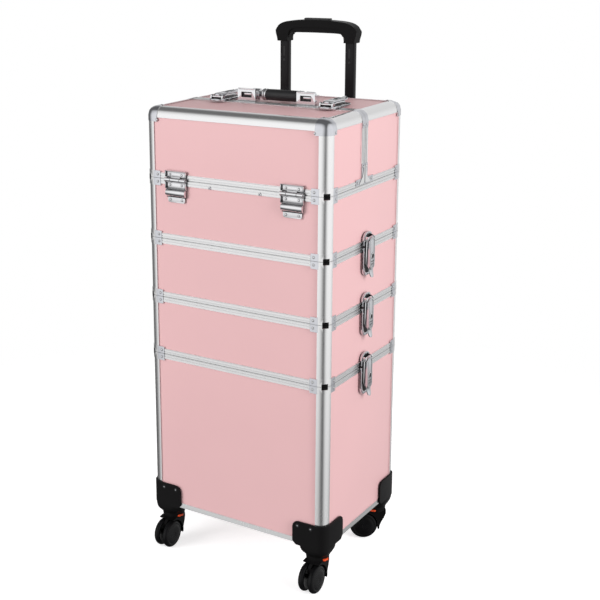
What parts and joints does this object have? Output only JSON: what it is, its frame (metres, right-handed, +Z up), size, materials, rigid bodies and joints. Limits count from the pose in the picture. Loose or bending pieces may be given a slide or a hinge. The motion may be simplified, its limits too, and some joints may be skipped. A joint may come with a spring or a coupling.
{
  "type": "makeup train case",
  "caption": "Upright rolling makeup case of stacked latched boxes with aluminium edges, split hinged lid, carry handle, telescopic rear handle and swivel casters.",
  "frame": {"origin": "centre of the bounding box footprint, on the floor under the casters", "axes": "+Z up along the height of the case; -Y towards the front face with the hinges; +X to the right of someone facing the front"},
  "size_m": [0.3674, 0.3065, 0.9125],
  "materials": {
    "panel": "satin pink ABS skin on board",
    "alu": "satin anodised",
    "chrome": "polished plate",
    "black": "moulded satin",
    "rubber": "smooth",
    "tray": "flocked lining",
    "tube": "black satin"
  },
  "bodies": {
    "bottom_case": {"bottom_case_frame": "alu", "bottom_case_panels": "panel", "corner_bracket_front_left": "black", "corner_bracket_front_right": "black", "corner_bracket_rear_left": "black", "corner_bracket_rear_right": "black", "trolley_mount_lower": "black", "trolley_mount_upper": "black", "trolley_outer_tube_left": "tube", "trolley_outer_tube_right": "tube"},
    "lower_tier": {"lower_tier_frame": "alu", "lower_tier_panels": "panel", "latch_hinge_left_low": "chrome", "latch_hinge_right_low": "chrome"},
    "upper_tier": {"upper_tier_frame": "alu", "upper_tier_panels": "panel", "latch_hinge_left_mid": "chrome", "latch_hinge_right_mid": "chrome"},
    "top_case": {"top_case_frame": "alu", "top_case_panels": "panel", "latch_hinge_left_high": "chrome", "latch_hinge_right_high": "chrome", "front_hinge_base_left": "chrome", "front_hinge_base_right": "chrome"},
    "lid_front": {"lid_front_frame": "alu", "lid_front_panels": "panel", "front_hinge_leaf_left": "chrome", "front_hinge_leaf_right": "chrome", "latch_hinge_top_left": "chrome", "latch_hinge_top_right": "chrome", "tray_arm_left": "tube", "tray_arm_right": "tube"},
    "lid_rear": {"lid_rear_frame": "alu", "lid_rear_panels": "panel", "carry_handle_buckle_left": "chrome", "carry_handle_buckle_right": "chrome"},
    "tray_upper": {"tray_front_upper": "tray"},
    "tray_lower": {"tray_front_lower": "tray"},
    "carry_handle": {"carry_handle_grip": "black"},
    "trolley_handle": {"trolley_grip": "black", "trolley_inner_tube_left": "tube", "trolley_inner_tube_right": "tube"},
    "release_button": {"trolley_release_button": "rubber"},
    "latch_left_low": {"latch_lever_left_low": "chrome"},
    "latch_right_low": {"latch_lever_right_low": "chrome"},
    "latch_left_mid": {"latch_lever_left_mid": "chrome"},
    "latch_right_mid": {"latch_lever_right_mid": "chrome"},
    "latch_left_high": {"latch_lever_left_high": "chrome"},
    "latch_right_high": {"latch_lever_right_high": "chrome"},
    "latch_top_left": {"latch_lever_top_left": "chrome"},
    "latch_top_right": {"latch_lever_top_right": "chrome"},
    "caster_front_left": {"caster_fork_front_left": "black"},
    "wheels_front_left": {"caster_wheels_front_left": "rubber"},
    "caster_front_right": {"caster_fork_front_right": "black"},
    "wheels_front_right": {"caster_wheels_front_right": "rubber"},
    "caster_rear_left": {"caster_fork_rear_left": "black"},
    "wheels_rear_left": {"caster_wheels_rear_left": "rubber"},
    "caster_rear_right": {"caster_fork_rear_right": "black"},
    "wheels_rear_right": {"caster_wheels_rear_right": "rubber"}
  },
  "joints": [
    {"name": "lower_tier_lift", "type": "slide", "parent": "bottom_case", "child": "lower_tier", "axis": [0, 0, 1], "range_m": [0, 0.15]},
    {"name": "upper_tier_lift", "type": "slide", "parent": "lower_tier", "child": "upper_tier", "axis": [0, 0, 1], "range_m": [0, 0.15]},
    {"name": "top_case_lift", "type": "slide", "parent": "upper_tier", "child": "top_case", "axis": [0, 0, 1], "range_m": [0, 0.15]},
    {"name": "lid_front_hinge", "type": "hinge", "parent": "top_case", "child": "lid_front", "pos_m": [0, -0.13685, 0.6674], "axis": [1, 0, 0], "range_deg": [0, 95]},
    {"name": "lid_rear_hinge", "type": "hinge", "parent": "top_case", "child": "lid_rear", "pos_m": [0, 0.13045, 0.6674], "axis": [-1, 0, 0], "range_deg": [0, 1.2]},
    {"name": "tray_upper_pivot", "type": "hinge", "parent": "lid_front", "child": "tray_upper", "pos_m": [0, -0.03685, 0.6469], "axis": [1, 0, 0], "range_deg": [-95, 0]},
    {"name": "tray_lower_pivot", "type": "hinge", "parent": "lid_front", "child": "tray_lower", "pos_m": [0, -0.07685, 0.6069], "axis": [1, 0, 0], "range_deg": [-95, 0]},
    {"name": "carry_handle_fold", "type": "hinge", "parent": "lid_rear", "child": "carry_handle", "pos_m": [0, -0.0012, 0.7933], "axis": [1, 0, 0], "range_deg": [0, 80]},
    {"name": "trolley_slide", "type": "slide", "parent": "bottom_case", "child": "trolley_handle", "axis": [0, 0, 1], "range_m": [-0.1, 0.12]},
    {"name": "release_button_press", "type": "slide", "parent": "trolley_handle", "child": "release_button", "axis": [0, 0, -1], "range_m": [0, 0.003], "stiffness_N_per_m": 400, "springref_m": -0.002},
    {"name": "latch_left_low_hinge", "type": "hinge", "parent": "lower_tier", "child": "latch_left_low", "pos_m": [-0.1772, -0.0032, 0.3752], "axis": [0, 1, 0], "range_deg": [0, 100]},
    {"name": "latch_right_low_hinge", "type": "hinge", "parent": "lower_tier", "child": "latch_right_low", "pos_m": [0.1772, -0.0032, 0.3752], "axis": [0, -1, 0], "range_deg": [0, 100]},
    {"name": "latch_left_mid_hinge", "type": "hinge", "parent": "upper_tier", "child": "latch_left_mid", "pos_m": [-0.1772, -0.0032, 0.477], "axis": [0, 1, 0], "range_deg": [0, 100]},
    {"name": "latch_right_mid_hinge", "type": "hinge", "parent": "upper_tier", "child": "latch_right_mid", "pos_m": [0.1772, -0.0032, 0.477], "axis": [0, -1, 0], "range_deg": [0, 100]},
    {"name": "latch_left_high_hinge", "type": "hinge", "parent": "top_case", "child": "latch_left_high", "pos_m": [-0.1772, -0.0032, 0.5788], "axis": [0, 1, 0], "range_deg": [0, 100]},
    {"name": "latch_right_high_hinge", "type": "hinge", "parent": "top_case", "child": "latch_right_high", "pos_m": [0.1772, -0.0032, 0.5788], "axis": [0, -1, 0], "range_deg": [0, 100]},
    {"name": "latch_top_left_hinge", "type": "hinge", "parent": "lid_front", "child": "latch_top_left", "pos_m": [-0.097, -0.0267, 0.7915], "axis": [1, 0, 0], "range_deg": [0, 100]},
    {"name": "latch_top_right_hinge", "type": "hinge", "parent": "lid_front", "child": "latch_top_right", "pos_m": [0.109, -0.0267, 0.7915], "axis": [1, 0, 0], "range_deg": [0, 100]},
    {"name": "caster_front_left_swivel", "type": "hinge", "parent": "bottom_case", "child": "caster_front_left", "pos_m": [-0.1455, -0.1087, 0.062], "axis": [0, 0, 1], "continuous": true},
    {"name": "caster_front_left_roll", "type": "hinge", "parent": "caster_front_left", "child": "wheels_front_left", "pos_m": [-0.1455, -0.1287, 0.0245], "axis": [1, 0, 0], "continuous": true},
    {"name": "caster_front_right_swivel", "type": "hinge", "parent": "bottom_case", "child": "caster_front_right", "pos_m": [0.1455, -0.1087, 0.062], "axis": [0, 0, 1], "continuous": true},
    {"name": "caster_front_right_roll", "type": "hinge", "parent": "caster_front_right", "child": "wheels_front_right", "pos_m": [0.1455, -0.1287, 0.0245], "axis": [1, 0, 0], "continuous": true},
    {"name": "caster_rear_left_swivel", "type": "hinge", "parent": "bottom_case", "child": "caster_rear_left", "pos_m": [-0.1455, 0.1023, 0.062], "axis": [0, 0, 1], "continuous": true},
    {"name": "caster_rear_left_roll", "type": "hinge", "parent": "caster_rear_left", "child": "wheels_rear_left", "pos_m": [-0.1455, 0.0823, 0.0245], "axis": [1, 0, 0], "continuous": true},
    {"name": "caster_rear_right_swivel", "type": "hinge", "parent": "bottom_case", "child": "caster_rear_right", "pos_m": [0.1455, 0.1023, 0.062], "axis": [0, 0, 1], "continuous": true},
    {"name": "caster_rear_right_roll", "type": "hinge", "parent": "caster_rear_right", "child": "wheels_rear_right", "pos_m": [0.12912, 0.09083, 0.0245], "axis": [0.5736, -0.8192, 0], "continuous": true}
  ],
  "couplings": [
    {"joint": "tray_upper_pivot", "follows": "lid_front_hinge", "ratio": -1},
    {"joint": "tray_lower_pivot", "follows": "lid_front_hinge", "ratio": -1}
  ]
}
